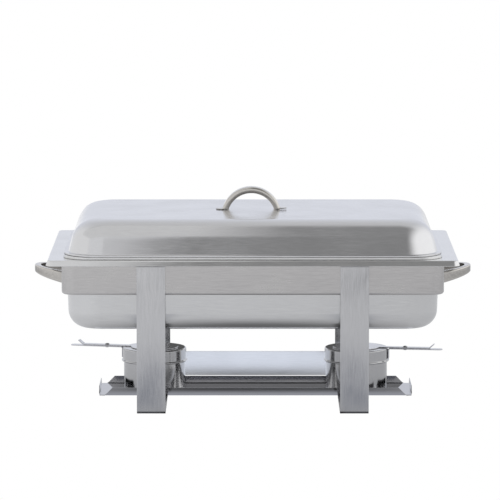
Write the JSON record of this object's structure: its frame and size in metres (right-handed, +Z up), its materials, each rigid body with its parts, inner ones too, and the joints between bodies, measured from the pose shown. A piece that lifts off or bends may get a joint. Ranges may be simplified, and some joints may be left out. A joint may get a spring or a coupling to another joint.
{
  "type": "chafing dish",
  "caption": "Full-size stainless steel chafing dish with a lift-off lid, nested food and water pans, a strip-steel stand and gel-fuel burners on a loose tray.",
  "frame": {"origin": "on the ground, under the middle of the dish: bottom centre of the overall box", "axes": "+X along the dish to the right end handle, +Y to the rear, away from the user, +Z up"},
  "size_m": [0.6246, 0.344, 0.301],
  "materials": {
    "lid_steel": "satin-polished stainless steel",
    "pan_steel": "bright rolled stainless steel",
    "rail_steel": "cold-rolled stainless strip, fine lengthwise grain",
    "strip_steel": "cold-rolled stainless strip, fine lengthwise grain",
    "handle_steel": "pressed stainless steel, bright",
    "tray_steel": "mirror-bright stainless sheet",
    "burner_steel": "spun stainless steel"
  },
  "bodies": {
    "stand": {"left_leg_frame": "strip_steel", "right_leg_frame": "strip_steel", "front_rail": "rail_steel", "rear_rail": "rail_steel", "left_end_rail": "rail_steel", "right_end_rail": "rail_steel", "lower_rear_stretcher": "strip_steel", "left_end_handle": "handle_steel", "right_end_handle": "handle_steel"},
    "water_pan": {"water_pan": "pan_steel"},
    "food_pan": {"food_pan": "pan_steel"},
    "lid": {"lid_shell": "lid_steel", "lid_handle": "handle_steel"},
    "burner_tray": {"burner_tray": "tray_steel"},
    "left_cup": {"left_fuel_cup": "burner_steel"},
    "left_cap": {"left_burner_cap": "burner_steel", "left_cap_handle": "burner_steel", "left_pivot_rivet": "burner_steel"},
    "left_cover": {"left_swivel_cover": "burner_steel"},
    "right_cup": {"right_fuel_cup": "burner_steel"},
    "right_cap": {"right_burner_cap": "burner_steel", "right_cap_handle": "burner_steel", "right_pivot_rivet": "burner_steel"},
    "right_cover": {"right_swivel_cover": "burner_steel"}
  },
  "joints": [
    {"name": "water_pan_lift", "type": "slide", "parent": "stand", "child": "water_pan", "axis": [0, 0, 1], "range_m": [0, 0.12]},
    {"name": "food_pan_lift", "type": "slide", "parent": "water_pan", "child": "food_pan", "axis": [0, 0, 1], "range_m": [0, 0.08]},
    {"name": "lid_lift", "type": "slide", "parent": "food_pan", "child": "lid", "axis": [0, 0, 1], "range_m": [0, 0.1]},
    {"name": "tray_slide", "type": "slide", "parent": "stand", "child": "burner_tray", "axis": [1, 0, 0], "range_m": [-0.15, 0.15]},
    {"name": "left_cup_lift", "type": "slide", "parent": "burner_tray", "child": "left_cup", "axis": [0, 0, 1], "range_m": [0, 0.02]},
    {"name": "left_cap_lift", "type": "slide", "parent": "left_cup", "child": "left_cap", "axis": [0, 0, 1], "range_m": [0, 0.02]},
    {"name": "left_cover_swivel", "type": "hinge", "parent": "left_cap", "child": "left_cover", "pos_m": [-0.21118, 0.04797, 0.064], "axis": [0, 0, 1], "range_deg": [-90, 90]},
    {"name": "right_cup_lift", "type": "slide", "parent": "burner_tray", "child": "right_cup", "axis": [0, 0, 1], "range_m": [0, 0.02]},
    {"name": "right_cap_lift", "type": "slide", "parent": "right_cup", "child": "right_cap", "axis": [0, 0, 1], "range_m": [0, 0.02]},
    {"name": "right_cover_swivel", "type": "hinge", "parent": "right_cap", "child": "right_cover", "pos_m": [0.22031, 0.02212, 0.064], "axis": [0, 0, 1], "range_deg": [-90, 90]}
  ]
}
